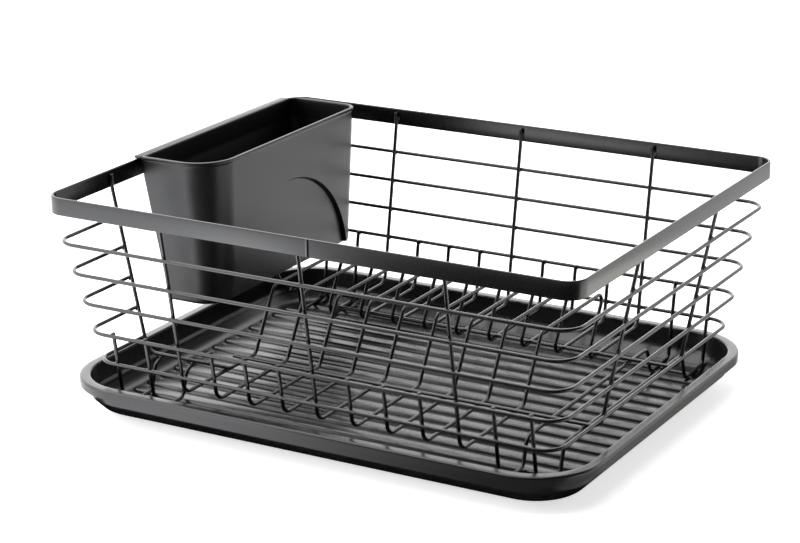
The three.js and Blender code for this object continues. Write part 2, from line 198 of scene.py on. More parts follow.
# %% The thin_edge group
EDGE_START = 0.53
EDGE_FULL = 0.62


def build_thin_edge():
    """Colour = the colour given, moved towards the edge tint by convexity times the amount."""
    inputs = {"Colour": "Color", "Edge tint": "Color", "Amount": "Float"}
    group, inside, outside = new_group("thin_edge", inputs, {"Colour": "Color"})
    shape = add_node(group, "ShaderNodeNewGeometry")
    edge = add_node(group, "ShaderNodeMapRange")
    edge.inputs["From Min"].default_value = EDGE_START
    edge.inputs["From Max"].default_value = EDGE_FULL
    group.links.new(shape.outputs["Pointiness"], edge.inputs["Value"])
    amount = add_node(group, "ShaderNodeMath", operation="MULTIPLY")
    group.links.new(edge.outputs["Result"], amount.inputs[0])
    group.links.new(inside.outputs["Amount"], amount.inputs[1])
    tint = add_node(group, "ShaderNodeMix", data_type="RGBA")
    group.links.new(amount.outputs[0], tint.inputs["Factor"])
    group.links.new(inside.outputs["Colour"], tint.inputs["A"])
    group.links.new(inside.outputs["Edge tint"], tint.inputs["B"])
    group.links.new(tint.outputs["Result"], outside.inputs["Colour"])
    return group


THIN_EDGE = build_thin_edge()
print("group:", THIN_EDGE.name)

# %% [markdown]
# ## The finishes themselves
#
# A finish is a Principled shader fed by the two groups. What is even all over the surface, such
# as the specular level, is set on the shader itself. The strip's coat is a little more even than
# the wire's, because powder lies better on a flat face than on a thin round one.

# %% Finish values and materials
FINISHES = {
    "wire_steel": dict(
        dark=0.0008, light=0.002, grains=1500.0, relief=0.05, rough=0.26, change=0.08, edge=0.0, specular=0.55
    ),
    "band_steel": dict(
        dark=0.0008, light=0.002, grains=1300.0, relief=0.02, rough=0.26, change=0.03, edge=0.3, specular=0.5
    ),
    "tray_plastic": dict(
        dark=0.004, light=0.008, grains=2200.0, relief=0.04, rough=0.25, change=0.05, edge=0.25, specular=0.5
    ),
    "cup_plastic": dict(
        dark=0.001, light=0.0025, grains=1900.0, relief=0.08, rough=0.35, change=0.06, edge=0.25, specular=0.5
    ),
}
EDGE_TINT = (0.015, 0.015, 0.016, 1.0)
GRAIN_HEIGHT = 0.0002  # metres from the lowest to the highest point of the relief


def finish(slot):
    """The material for one slot: position to fine_skin, its colour through thin_edge, its height
    through a Bump node, all into one Principled shader."""
    values = FINISHES[slot]
    material = bpy.data.materials.new(slot)
    material.use_nodes = True
    material["slot"] = slot
    tree = material.node_tree
    shader = tree.nodes["Principled BSDF"]
    shader.inputs["Specular IOR Level"].default_value = values["specular"]
    place = add_node(tree, "ShaderNodeTexCoord")
    skin = add_node(tree, "ShaderNodeGroup", node_tree=FINE_SKIN)
    skin.inputs["Dark"].default_value = (values["dark"], values["dark"], values["dark"] * 1.04, 1.0)
    skin.inputs["Light"].default_value = (values["light"], values["light"], values["light"] * 1.04, 1.0)
    skin.inputs["Grains per metre"].default_value = values["grains"]
    skin.inputs["Roughness middle"].default_value = values["rough"]
    skin.inputs["Roughness change"].default_value = values["change"]
    edge = add_node(tree, "ShaderNodeGroup", node_tree=THIN_EDGE)
    edge.inputs["Edge tint"].default_value = EDGE_TINT
    edge.inputs["Amount"].default_value = values["edge"]
    bump = add_node(tree, "ShaderNodeBump")
    bump.inputs["Strength"].default_value = values["relief"]
    bump.inputs["Distance"].default_value = GRAIN_HEIGHT
    tree.links.new(place.outputs["Object"], skin.inputs["Position"])
    tree.links.new(skin.outputs["Colour"], edge.inputs["Colour"])
    tree.links.new(edge.outputs["Colour"], shader.inputs["Base Color"])
    tree.links.new(skin.outputs["Roughness"], shader.inputs["Roughness"])
    tree.links.new(skin.outputs["Height"], bump.inputs["Height"])
    tree.links.new(bump.outputs["Normal"], shader.inputs["Normal"])
    return material


WIRE_STEEL = finish("wire_steel")
BAND_STEEL = finish("band_steel")
TRAY_PLASTIC = finish("tray_plastic")
CUP_PLASTIC = finish("cup_plastic")
print("finishes:", [material.name for material in bpy.data.materials if "slot" in material])

# %% [markdown]
# ## A bent line
#
# A wire bender makes straight runs joined by arcs of one radius. The line through the middle of
# the wire is therefore a few corners, each replaced by an arc that touches both runs. Only the
# corners and the radii have to be chosen.

# %% Bent lines
BEND_STEPS = 9


def unit(vector):
    """The vector at length one."""
    return vector / np.linalg.norm(vector, axis=-1, keepdims=True)


def bent_line(corners, bends, steps=BEND_STEPS):
    """Straight runs joined by arcs. A point of an arc is centre + start * cos(a) + along * sin(a),
    where start reaches from the centre to the arc's first point and along is the way of travel."""
    corners = np.asarray(corners, float)
    line = [corners[:1]]
    for before, corner, after, bend in zip(corners, corners[1:], corners[2:], bends):
        back, ahead = unit(before - corner), unit(after - corner)
        turn = math.pi - math.acos(np.clip(back @ ahead, -1.0, 1.0))
        centre = corner + unit(back + ahead) * bend / math.cos(turn / 2)
        start = corner + back * bend * math.tan(turn / 2) - centre
        angle = np.linspace(0.0, turn, steps)[:, None]
        line.append(centre + start * np.cos(angle) - back * bend * np.sin(angle))
    line.append(corners[-1:])
    return np.concatenate(line)


# %% [markdown]
# ## A round wire along a bent line
#
# Every wire of the rack is bent in one plane, which keeps the section simple: one of its two
# axes is the plane's normal, and the other is square to it and to the line. The shears leave a
# flat end, and the coat rounds its rim, so the last few sections shrink quickly to a point.

# %% Round rods
WIRE_RADIUS = 0.0014
ROD_SIDES = 16
END_STEPS = 5
END_BULGE = 0.0004  # how far the coat stands out past the cut


def rod(line, plane_normal, radius=WIRE_RADIUS):
    """Section points are centre + r * (side * cos(t) + normal * sin(t)). At the two ends r falls
    from the radius to nothing as the root of a cosine while the centre moves out as a sine."""
    steps = np.diff(line, axis=0)
    ahead = unit(np.concatenate([steps, steps[-1:]]))
    behind = unit(np.concatenate([steps[:1], steps]))
    along = unit(ahead + behind)
    angle = np.linspace(0.0, math.pi / 2, END_STEPS)[1:, None]
    bulge = END_BULGE * np.sin(angle)
    centres = np.concatenate([line[0] - along[0] * bulge[::-1], line, line[-1] + along[-1] * bulge])
    shrink = np.sqrt(np.clip(np.cos(angle), 0.0, 1.0))
    radii = radius * np.concatenate([shrink[::-1], np.ones((len(line), 1)), shrink])
    radii[0] = radii[-1] = 0.0
    ends = np.ones((END_STEPS - 1, 1))
    along = np.concatenate([ends * along[0], along, ends * along[-1]])
    normal = np.asarray(plane_normal, float)
    side = unit(np.cross(normal, along))
    t = np.linspace(0.0, 2 * math.pi, ROD_SIDES, endpoint=False)[None, :, None]
    section = side[:, None] * np.cos(t) + normal * np.sin(t)
    return sheet_of(centres[:, None] + radii[:, None] * section, wrap_columns=True)


# %% [markdown]
# ## The walls of the basket as four leaning planes
#
# The strip stands upright. Below it the wires lean in towards the floor, the end walls a little
# more than the long ones. Two small functions give the middle of a wall wire at any height, and
# everything that is welded to a wall is placed by them.

# %% Wall lines
BAND_THICKNESS = 0.002
GAP = 0.0003
SIDE_LEAN = 0.21
FRONT_LEAN = 0.168
rim_low, rim_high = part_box("rim_band")
rim_middle_x = (rim_low.x + rim_high.x) / 2
inside_band = BAND_THICKNESS + GAP + WIRE_RADIUS


def end_wall(z):
    """Distance of a wire in an end wall from the rim's middle, at height z."""
    return (rim_high.x - rim_low.x) / 2 - inside_band - SIDE_LEAN * np.maximum(0.0, rim_low.z - z)


def long_wall(z):
    """Distance of a wire in the front or back wall from the rim's middle, at height z."""
    return rim_high.y - inside_band - FRONT_LEAN * np.maximum(0.0, rim_low.z - z)


print("walls at the strip:", round(end_wall(rim_low.z), 4), round(long_wall(rim_low.z), 4))

# %% [markdown]
# ## The rim strip and its weld
#
# The strip is cut to length, bent at four corners and butt-welded near the middle of the front,
# where the bead shows as a thin upright line through the coat. The profile is a tall narrow
# rectangle with rounded edges, carried round a rounded rectangle. Near the weld the line has
# extra points, and the outer face swells by a bell curve.

# %% Rim strip
RIM_CORNER = 0.014
RIM_EDGE = 0.0007
SEAM_X = 0.0098  # from the middle of the front
SEAM_HEIGHT = 0.00035
SEAM_WIDTH = 0.0007
SEAM_REACH = 0.004
SEAM_STEPS = 41


def corner_arc(centre_x, centre_y, first_degrees, steps=18):
    """Corner centre and outward direction for a quarter turn, as rows of (x, y, cos, sin)."""
    angle = np.radians(np.linspace(first_degrees, first_degrees + 90.0, steps))
    return np.stack([np.full(steps, centre_x), np.full(steps, centre_y), np.cos(angle), np.sin(angle)], -1)


def rim_strip():
    """Points are corner centre + outward * (radius - inset) at height z, for an edge profile of
    (inset, z), plus a bell-shaped swelling of the outer face beside the weld."""
    half_x = (rim_high.x - rim_low.x) / 2 - RIM_CORNER
    half_y = rim_high.y - RIM_CORNER
    seam = np.linspace(-SEAM_REACH, SEAM_REACH, SEAM_STEPS) + SEAM_X
    run = np.stack([seam, 0 * seam - half_y, 0 * seam, 0 * seam - 1], -1)
    corners = [(-half_x, -half_y, 180), (half_x, -half_y, 270), (half_x, half_y, 0), (-half_x, half_y, 90)]
    first, *others = [corner_arc(*corner) for corner in corners]
    around = np.concatenate([first, run, *others])[:, None]
    on_front = around[..., 3] < -0.999
    foot, top, back = rim_low.z, rim_high.z, BAND_THICKNESS
    middle = (back / 2, foot)
    loop = [middle, (back, foot), (back, top), (0.0, top), (0.0, foot), middle]
    profile = bent_line(loop, [RIM_EDGE] * 4, 5)[:-1]
    inset, z = profile[None, :, 0], profile[None, :, 1]
    bead = SEAM_HEIGHT * np.exp(-(((around[..., 0] - SEAM_X) / SEAM_WIDTH) ** 2)) * on_front
    reach = RIM_CORNER - inset + bead * (1 - inset / BAND_THICKNESS)
    x = rim_middle_x + around[..., 0] + around[..., 2] * reach
    y = around[..., 1] + around[..., 3] * reach
    return sheet_of(np.stack([x, y, z + 0 * x], -1), True, True)


strip = make_piece("rim_strip", [rim_strip()], BAND_STEEL, "basket", ["rim_band"])
print("rim strip:", len(strip.data.polygons), "faces")

# %% [markdown]
# ## Five ring wires
#
# The rings run round the outside of the wall wires. On the left they stop at the two uprights,
# which leaves that wall open so that the cup can hang there. The lower rings are shorter, since
# the walls lean in. Each one lies at the height of its node in the frame.

# %% Ring wires
RING_CORNER = 0.016
RING_COUNT = 5
ring_step = 2 * WIRE_RADIUS + GAP
left_upright_y = sum(corner.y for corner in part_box("upright_left_back")) / 2
UP = (0.0, 0.0, 1.0)


def ring_height(number):
    """Middle height of a ring in the frame."""
    return sum(corner.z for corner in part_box(f"ring_wire_{number}")) / 2


def ring_reach(number):
    """Distance of a ring's ends and of its long sides from the rim's middle."""
    z = ring_height(number)
    side = end_wall(z) + ring_step * math.hypot(1, SIDE_LEAN)
    return side, long_wall(z) + ring_step * math.hypot(1, FRONT_LEAN)


def ring_line(number):
    """Two short stretches on the left, the front, the right end and the back, with four bends."""
    z = ring_height(number)
    x, y = ring_reach(number)
    stop = left_upright_y - WIRE_RADIUS
    turns = [(-x, -stop), (-x, -y), (x, -y), (x, y), (-x, y), (-x, stop)]
    return bent_line([(rim_middle_x + a, b, z) for a, b in turns], [RING_CORNER] * 4, 15)


for number in range(1, RING_COUNT + 1):
    name = f"ring_wire_{number}"
    make_piece(f"ring_rod_{number}", [rod(ring_line(number), UP)], WIRE_STEEL, "basket", [name])
print("ring heights:", [round(ring_height(number), 4) for number in range(1, RING_COUNT + 1)])

# %% [markdown]
# ## Nine plate dividers
#
# One wire makes a stretch of the front wall, a stretch of floor, a hoop whose legs lean back so
# that a plate rests at an angle, and the same again at the back. Every fourth one runs up to the
# strip and carries it. The others are cut off just above the fourth ring.

# %% Divider wires
DIVIDER_COUNT = 9
TALL_EVERY = 4
WALL_BEND = 0.009
HOOP_BEND = 0.0055
HOOP_TOP = 0.074
HOOP_FRONT = -0.050
HOOP_BACK = 0.053
HOOP_LEAN = 0.028
SHORT_PROUD = 0.0015  # how far a short wire runs on above the fourth ring
RIGHT = (1.0, 0.0, 0.0)
# The frame's wires have six sides and lie on a flat one, so this is where their middle runs.
floor_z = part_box("divider_wire_2")[0].z + WIRE_RADIUS * math.cos(math.pi / 6)
tall_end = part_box("upright_right_front")[1].z
short_end = ring_height(RING_COUNT - 1) + SHORT_PROUD


def middle_x(node):
    """Middle of a node along the rack."""
    return sum(corner.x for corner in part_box(node)) / 2


def wall_part(x, side, tall):
    """The upper corners of a wall wire: its end, and the knee under the strip if it is tall."""
    heights = [tall_end, rim_low.z] if tall else [short_end]
    return [(x, side * long_wall(z), z) for z in heights]


def divider_line(x, tall):
    """Down the front wall, along the floor, over the hoop and up the back wall."""
    hoop = [
        (x, HOOP_FRONT, floor_z),
        (x, HOOP_FRONT + HOOP_LEAN, HOOP_TOP),
        (x, HOOP_BACK + HOOP_LEAN, HOOP_TOP),
        (x, HOOP_BACK, floor_z),
    ]
    front = wall_part(x, -1, tall) + [(x, -long_wall(floor_z), floor_z)]
    back = [(x, long_wall(floor_z), floor_z)] + wall_part(x, 1, tall)[::-1]
    wall_bends = [WALL_BEND] * (2 if tall else 1)
    return bent_line(front + hoop + back, wall_bends + [HOOP_BEND] * 4 + wall_bends)


for number in range(1, DIVIDER_COUNT + 1):
    name = f"divider_wire_{number}"
    line = divider_line(middle_x(name), (number - 1) % TALL_EVERY == 0)
    make_piece(f"divider_rod_{number}", [rod(line, RIGHT)], WIRE_STEEL, "basket", [name])
print("dividers:", DIVIDER_COUNT)

# %% [markdown]
# ## Feet
#
# The end wires dip below the floor of the basket and lie flat on the ribs of the tray, which
# keeps the plates out of the water. At the right each wire has a foot at the front and one at
# the back. At the left, under the cup, each foot is a short wire of its own.

# %% Foot wires
FOOT_RISE_Y = 0.099
FOOT_LEG_Y = 0.105
FOOT_BEND = 0.006
FOOT_SHOULDER = 0.008
foot_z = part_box("foot_wire_1")[0].z + WIRE_RADIUS  # the undersides are level


def foot_part(x, side):
    """Down the wall, in along the tray and up to the basket's floor."""
    return wall_part(x, side, False) + [
        (x, side * long_wall(foot_z), foot_z),
        (x, side * FOOT_LEG_Y, foot_z),
        (x, side * FOOT_RISE_Y, floor_z),
    ]


def foot_piece(node, sides):
    """A foot wire: both feet in one wire, or one foot that ends on the short bar."""
    x = middle_x(node)
    bends = [FOOT_BEND, FOOT_BEND, FOOT_SHOULDER]
    if len(sides) == 2:
        line = bent_line(foot_part(x, -1) + foot_part(x, 1)[::-1], bends + bends[::-1])
    else:
        stop = (x, sides[0] * (left_upright_y - 2 * WIRE_RADIUS), floor_z)
        line = bent_line(foot_part(x, sides[0]) + [stop], bends)
    name = node.replace("wire", "rod").replace("short_foot", "short_foot_rod")
    return make_piece(name, [rod(line, RIGHT)], WIRE_STEEL, "basket", [node])


feet = [foot_piece(f"foot_wire_{number}", (-1, 1)) for number in (1, 2)]
feet += [foot_piece(f"short_foot_front_{number}", (-1,)) for number in (1, 2)]
feet += [foot_piece(f"short_foot_back_{number}", (1,)) for number in (1, 2)]
print("feet:", [piece.name for piece in feet])

# %% [markdown]
# ## Uprights that turn into floor bars
#
# Two wires come down the right wall, bend in and cross the whole floor on top of the other
# wires, which ties them together. Two shorter ones do the same at the left, beside the cup.

# %% Upright wires
BAR_BEND = 0.010
FORWARD = (0.0, 1.0, 0.0)
bar_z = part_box("upright_right_front")[0].z + WIRE_RADIUS  # the undersides are level


def upright_piece(node, side):
    """Down the end wall, round one bend and along the floor to the bar's end."""
    low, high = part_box(node)
    y = (low.y + high.y) / 2
    end = low.x if side > 0 else high.x
    corners = [(rim_middle_x + side * end_wall(z), y, z) for z in (tall_end, rim_low.z, bar_z)]
    line = bent_line(corners + [(end, y, bar_z)], [WALL_BEND, BAR_BEND])
    name = node.replace("upright", "upright_rod")
    return make_piece(name, [rod(line, FORWARD)], WIRE_STEEL, "basket", [node])


uprights = [upright_piece(f"upright_right_{where}", 1) for where in ("front", "back")]
uprights += [upright_piece(f"upright_left_{where}", -1) for where in ("front", "back")]
print("uprights:", [piece.name for piece in uprights])

# %% [markdown]
# ## Weld nuggets
#
# Where two wires cross they are squeezed between electrodes and melt together for a moment. That
# leaves a small lump in the corner between them. Every nugget is the same small ellipsoid, moved
# to its crossing, so one array holds them all.

# %% Weld nuggets
NUGGET = np.array([0.0020, 0.0012, 0.0020])
STRIP_NUGGET = NUGGET * [1, 1, 2.2]  # taller, where a wire lies along the strip
NUGGET_ROUND = 10
NUGGET_RISE = 7
dividers = [f"divider_wire_{number}" for number in range(1, DIVIDER_COUNT + 1)]
end_feet = ["foot_wire_1", "foot_wire_2"]
near_feet = ["short_foot_front_1", "short_foot_front_2"]


def nugget_sheets(centres, radii):
    """Each nugget is centre + radii * (cos u * sin v, sin u * sin v, cos v)."""
    u = np.linspace(0.0, 2 * math.pi, NUGGET_ROUND, endpoint=False)[None, :]
    v = np.linspace(0.0, math.pi, NUGGET_RISE)[:, None]
    ball = np.stack([np.cos(u) * np.sin(v), np.sin(u) * np.sin(v), np.cos(v) + 0 * u], -1)
    return [sheet_of(centre + ball * radii, wrap_columns=True) for centre in centres]


def wall_welds():
    """Where the wall wires and the uprights cross the rings, and where the tall ones meet the strip."""
    long_side, end_side, on_strip = [], [], []
    tall = dividers[::TALL_EVERY]
    short = [node for node in dividers if node not in tall] + end_feet + near_feet
    for number in range(1, RING_COUNT + 1):
        z = ring_height(number)
        nodes = tall + (short if number >= RING_COUNT - 1 else [])
        y = (long_wall(z) + ring_reach(number)[1]) / 2
        long_side += [(middle_x(node), side * y, z) for node in nodes for side in (-1, 1)]
        x = (end_wall(z) + ring_reach(number)[0]) / 2
        for node, side in (("right_front", 1), ("right_back", 1), ("left_front", -1), ("left_back", -1)):
            at = sum(corner.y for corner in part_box(f"upright_{node}")) / 2
            end_side.append((rim_middle_x + side * x, at, z))
    height, y = (rim_low.z + tall_end) / 2, rim_high.y - BAND_THICKNESS
    on_strip = [(middle_x(node), side * y, height) for node in tall for side in (-1, 1)]
    return np.array(long_side), np.array(end_side), np.array(on_strip)


def floor_welds():
    """Where the bars lie across the wires of the floor."""
    z = (floor_z + bar_z) / 2
    places = []
    for node in ("upright_right_front", "upright_right_back"):
        y = sum(corner.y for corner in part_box(node)) / 2
        places += [(middle_x(other), y, z) for other in dividers + end_feet]
    for side in (-1, 1):
        places += [(middle_x(other), side * left_upright_y, z) for other in near_feet + dividers[:1]]
    return np.array(places)


long_side, end_side, on_strip = wall_welds()
welds = nugget_sheets(long_side, NUGGET) + nugget_sheets(end_side, NUGGET[[1, 0, 2]])
welds += nugget_sheets(on_strip, STRIP_NUGGET) + nugget_sheets(floor_welds(), NUGGET[[0, 2, 1]])
make_piece("weld_nuggets", welds, WIRE_STEEL, "basket")
print("nuggets:", len(welds))

# %% [markdown]
# ## The drip tray
#
# A tray like this is injection-moulded in one shot: a rolled lip with a short skirt outside it, a
# steep wall, a soft foot and a flat floor. The profile below lists distance in from the outer
# edge and height. It is carried round a rounded rectangle, which is a lathe whose four quarters
# have been moved apart.

# %% Tray shell
TRAY_CORNER = 0.050
TRAY_FLOOR = 0.0036
FLOOR_INSET = 0.031
SKIRT_DROP = 0.0070
TRAY_WALL = 0.0022
CORNER_STEPS = 26
tray_low, tray_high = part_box("drip_tray")
tray_middle = (tray_low + tray_high) / 2
tray_half = (tray_high - tray_low) / 2
lip_z = tray_high.z


def tray_profile():
    """The closed wall profile: skirt, lip, inner wall, foot, floor edge and the underside."""
    skirt_z, under_z = lip_z - SKIRT_DROP, lip_z - TRAY_WALL
    outer = [(0.0, skirt_z), (0.0, lip_z), (0.0082, lip_z)]
    outer += [(0.0101, 0.0125), (0.0205, 0.0045), (0.036, 0.0030)]
    under = [(0.036, 0.0002), (0.0300, 0.0002), (0.0165, 0.0046), (0.0078, 0.0135), (0.0064, under_z)]
    skirt = [(TRAY_WALL, under_z), (TRAY_WALL, skirt_z)]
    start = [(TRAY_WALL / 2, skirt_z)]
    bends = [0.0006, 0.0017, 0.0016, 0.009, 0.016, 0.0001]
    bends += [0.0001, 0.008, 0.009, 0.004, 0.0008, 0.0008, 0.0006]
    return bent_line(start + outer + under + skirt + start, bends, 7)[:-1]


def around_tray(inset, z):
    """Points are corner centre + (corner radius - inset) * (cos a, sin a), at height z."""
    half_x, half_y = tray_half.x - TRAY_CORNER, tray_half.y - TRAY_CORNER
    corners = [(half_x, half_y, 0), (-half_x, half_y, 90), (-half_x, -half_y, 180), (half_x, -half_y, 270)]
    around = np.concatenate([corner_arc(*corner, CORNER_STEPS) for corner in corners])[:, None]
    x = tray_middle.x + around[..., 0] + around[..., 2] * (TRAY_CORNER - inset)
    y = tray_middle.y + around[..., 1] + around[..., 3] * (TRAY_CORNER - inset)
    return np.stack([x, y, z + 0 * x], -1)


def tray_floor():
    """A flat slab with rounded corners, as rows from front to back. Each row is a closed loop of
    four points, and the first and last rows close to a line."""
    radius = TRAY_CORNER - FLOOR_INSET
    rise = np.radians(np.linspace(-90.0, 0.0, CORNER_STEPS))
    row_y = np.concatenate([radius * np.sin(rise), -radius * np.sin(rise[::-1])])
    row_x = np.concatenate([np.cos(rise), np.cos(rise[::-1])]) * radius
    side = np.repeat([-1.0, 1.0], CORNER_STEPS)
    y = tray_middle.y + side * (tray_half.y - TRAY_CORNER) + row_y
    x = tray_half.x - TRAY_CORNER + row_x
    across = np.array([-1.0, 1.0, 1.0, -1.0])
    z = np.array([TRAY_FLOOR, TRAY_FLOOR, 0.0, 0.0])
    rows = np.stack([tray_middle.x + x[:, None] * across, y[:, None] + 0 * across, z + 0 * x[:, None]], -1)
    close = rows[[0, -1]] * [1, 1, 0] + [0, 0, TRAY_FLOOR / 2]
    return sheet_of(np.concatenate([close[:1], rows, close[1:]]), wrap_columns=True)


profile = tray_profile()
tray_sheets = [sheet_of(around_tray(profile[None, :, 0], profile[None, :, 1]), True, True), tray_floor()]
print("tray profile:", len(profile), "points, lip at", round(lip_z, 4))

# %% [markdown]
# ## Ribs on the tray floor
#
# Sixteen low ribs run along the tray and lift the feet out of the water. Each is a long pad with
# round ends. In plan it is two half circles moved apart, and in section it rises steeply, rounds
# over and meets in the middle, so the same profile does for the sides and the ends.

# %% Tray ribs
RIB_COUNT = 16
RIB_PITCH = 0.0174
RIB_HALF_WIDTH = 0.0059
RIB_SLOPE = 0.0016  # how much narrower a side gets from root to top
RIB_ROUND = 0.0020
RIB_ROOT = 0.0029  # inside the floor and the soft foot
RIB_END_INSET = 0.0235
RIB_STEPS = 12
rib_top = foot_z - WIRE_RADIUS - GAP


def rib_sheet(y):
    """Points are end centre + r * (cos a, sin a) at height z, with (r, z) along the rib's section."""
    corner = TRAY_CORNER - RIB_END_INSET
    over = max(0.0, abs(y) + RIB_HALF_WIDTH / 2 - (tray_half.y - TRAY_CORNER))
    reach = tray_half.x - TRAY_CORNER + math.sqrt(corner**2 - over**2) - RIB_HALF_WIDTH
    foot, top = RIB_HALF_WIDTH, RIB_HALF_WIDTH - RIB_SLOPE
    section = [(0.0, RIB_ROOT), (foot, RIB_ROOT), (top, rib_top), (0.0, rib_top)]
    section = bent_line(section, [0.0001, RIB_ROUND], 7)
    turn = np.radians(np.concatenate([np.linspace(-90, 90, RIB_STEPS), np.linspace(90, 270, RIB_STEPS)]))
    side = np.repeat([1.0, -1.0], RIB_STEPS)
    x = tray_middle.x + (side * reach)[:, None] + np.cos(turn)[:, None] * section[:, 0]
    depth = tray_middle.y + y + np.sin(turn)[:, None] * section[:, 0]
    return sheet_of(np.stack([x, depth, section[:, 1] + 0 * x], -1), wrap_rows=True)


rib_places = (np.arange(RIB_COUNT) - (RIB_COUNT - 1) / 2) * RIB_PITCH
tray_sheets += [rib_sheet(y) for y in rib_places]
tray = make_piece("drip_tray_shell", tray_sheets, TRAY_PLASTIC, "tray", ["drip_tray"])
print("drip tray:", len(tray.data.polygons), "faces,", RIB_COUNT, "ribs, tops at", round(rib_top, 4))

# %% [markdown]
# ## The cutlery cup
#
# The cup is one moulding. In plan it is a rectangle with a different radius at each corner: the
# front right one is large, the two at the left are small, because that side sits against the
# strip. The left wall is upright at the top and leans in below, to clear the leaning basket, and
# the back wall has a little draft. A profile of (inset, height) goes round the outline: inner
# wall, lip, outer wall and foot.

# %% Cup outline and taper
CUP_LEFT = rim_low.x + 0.0049
CUP_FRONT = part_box("cutlery_cup")[0].y
CUP_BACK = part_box("cutlery_cup")[1].y
CUP_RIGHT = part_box("cutlery_cup")[1].x
CUP_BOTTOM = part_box("cutlery_cup")[0].z
CUP_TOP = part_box("cutlery_cup")[1].z
CUP_RADII = (0.004, 0.030, 0.013, 0.010)  # front left, front right, back right, back left
CUP_DRAFT = 0.011
KNEE = CUP_TOP - (CUP_TOP - CUP_BOTTOM) / 7
LIP_PROUD = 0.0012
CUP_WALL = 0.0016
CUP_FLOOR = 0.0024
CELL = 0.0008  # spacing of the grid where the round panel is cut


def cup_outline():
    """Rows of (corner centre x, y, outward cos, sin, corner radius), counter-clockwise from the
    front left corner. The right wall and the front right corner have closely spaced rows."""
    front_left, front_right, back_right, back_left = CUP_RADII
    places = [
        (CUP_LEFT + front_left, CUP_FRONT + front_left, 180, 10, front_left),
        (CUP_RIGHT - front_right, CUP_FRONT + front_right, 270, 60, front_right),
        (CUP_RIGHT - back_right, CUP_BACK - back_right, 0, 16, back_right),
        (CUP_LEFT + back_left, CUP_BACK - back_left, 90, 12, back_left),
    ]
    arcs = [np.insert(corner_arc(*place[:4]), 4, place[4], axis=1) for place in places]
    count = int((CUP_BACK - back_right - CUP_FRONT - front_right) / CELL)
    y = np.linspace(CUP_FRONT + front_right, CUP_BACK - back_right, count)[1:-1]
    wall = np.stack([0 * y + CUP_RIGHT - front_right, y, 0 * y + 1, 0 * y, 0 * y + front_right], -1)
    return np.concatenate([arcs[0], arcs[1], wall, arcs[2], arcs[3]])[:, None]


def tapered(x, y, z):
    """The left wall comes in by its lean below the knee, and the back wall by its draft."""
    drop = np.maximum(0.0, KNEE - z)
    narrow = 1 - SIDE_LEAN * drop / (CUP_RIGHT - CUP_LEFT)
    shallow = 1 - CUP_DRAFT * drop / (KNEE - CUP_BOTTOM) / (CUP_BACK - CUP_FRONT)
    return CUP_RIGHT - (CUP_RIGHT - x) * narrow, CUP_FRONT + (y - CUP_FRONT) * shallow


print("cup box:", [round(value, 4) for value in (CUP_LEFT, CUP_RIGHT, CUP_FRONT, CUP_BACK, CUP_TOP)])

# %% [markdown]
# ## The round panel in the cup
#
# A large shallow disc is pressed into the face of the cup that looks into the basket, as a plain
# ornament. It is a step of constant depth. A regular grid would cut the circle into stairs, so
# the points near the step slide in or out along their radius until they lie exactly on its upper
# or lower edge.

# %% Round panel
PANEL_RADIUS = 0.084
PANEL_DEPTH = 0.0030
PANEL_STEP = 0.0018
PANEL_Y = 0.048
PANEL_Z = 0.0505
SNAP = 0.6 * CELL


def pressed(x, y, z, face, radius):
    """Inside the circle the surface lies back at the panel's depth behind the face. Points near
    either edge of the step are moved along their radius on to it."""
    away_y, away_z = y - PANEL_Y, z - PANEL_Z
    reach = np.maximum(np.hypot(away_y, away_z), CELL)
    snapped = np.where(np.abs(reach - radius) < SNAP, radius, reach)
    snapped = np.where(np.abs(reach - radius + PANEL_STEP) < SNAP, radius - PANEL_STEP, snapped)
    on_face = (x > face - 2 * PANEL_DEPTH) & (z > CUP_BOTTOM + 2 * CUP_FLOOR) & (z < CUP_TOP - 2 * CUP_FLOOR)
    scale = np.where(on_face, snapped / reach, 1.0)
    sunk = np.clip((radius - snapped) / PANEL_STEP, 0.0, 1.0) * (x > face - 2 * PANEL_DEPTH)
    back = np.minimum(x, face - PANEL_DEPTH)
    return x + (back - x) * sunk, PANEL_Y + away_y * scale, PANEL_Z + away_z * scale


def cup_profile():
    """Closed profile of the cup wall, as points of (inset, height): lip, outer wall, foot and inner wall."""
    inner = LIP_PROUD + CUP_WALL
    lip = [(inner, CUP_TOP - 0.004), (inner, CUP_TOP), (0.0, CUP_TOP), (0.0, CUP_TOP - 0.0026)]
    lip += [(LIP_PROUD, CUP_TOP - 0.0032), (LIP_PROUD, CUP_TOP - 0.006)]
    lip = bent_line(lip, [0.0011, 0.0009, 0.0006, 0.0006], 6)
    rows = int((CUP_TOP - CUP_BOTTOM - 0.009) / CELL)
    down = np.linspace(CUP_TOP - 0.006, CUP_BOTTOM + 0.003, rows)[1:]
    outer = np.stack([0 * down + LIP_PROUD, down], -1)
    low = CUP_BOTTOM + CUP_FLOOR
    foot = [(LIP_PROUD, CUP_BOTTOM + 0.003), (LIP_PROUD, CUP_BOTTOM), (0.006, CUP_BOTTOM)]
    foot += [(0.006, low - 0.0002), (inner, low), (inner, low + 0.004)]
    foot = bent_line(foot, [0.0022, 0.0001, 0.0001, 0.0014], 6)[1:]
    up = np.linspace(low + 0.004, CUP_TOP - 0.004, rows // 2)[1:-1]
    back = np.stack([0 * up + inner, up], -1)
    return np.concatenate([lip, outer, foot, back])


